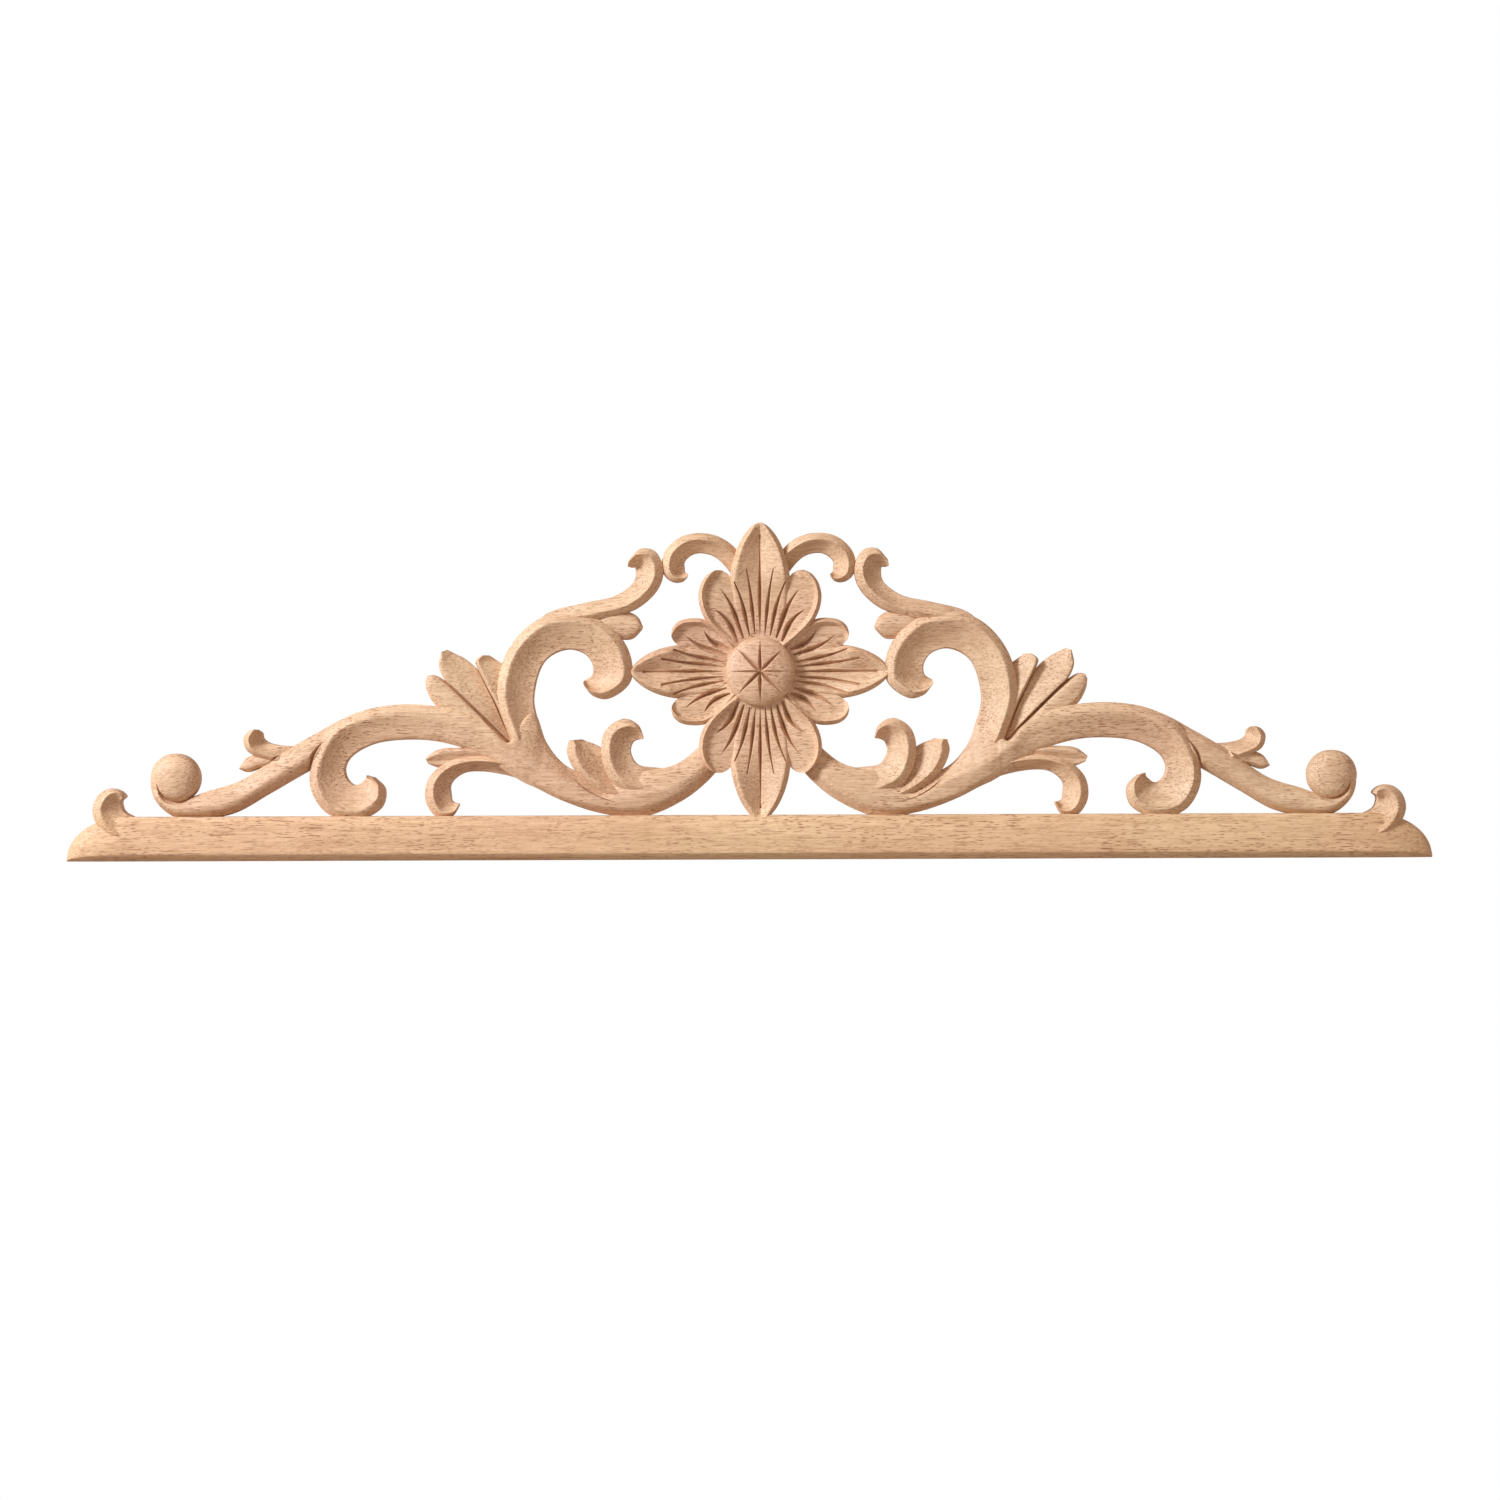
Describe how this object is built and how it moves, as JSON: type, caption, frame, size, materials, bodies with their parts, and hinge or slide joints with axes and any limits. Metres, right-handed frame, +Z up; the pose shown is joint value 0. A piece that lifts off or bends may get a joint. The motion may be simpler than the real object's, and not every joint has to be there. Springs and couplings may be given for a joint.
{
  "type": "carved headpiece",
  "caption": "Carved wood headpiece applique: a low base rail with scrolls, leaf fans and volutes stepping up to a central petalled flower, flat on the back for fixing to furniture.",
  "frame": {"origin": "on the flat back, at the middle of the base rail's length and height", "axes": "+X along the rail to the viewer's right, +Y out of the flat back towards the surface it is fixed to (the carved front faces -Y), +Z up"},
  "size_m": [0.6, 0.0179, 0.1479],
  "materials": {
    "wood": "matte"
  },
  "bodies": {
    "root": {"headpiece": "wood"}
  },
  "joints": []
}
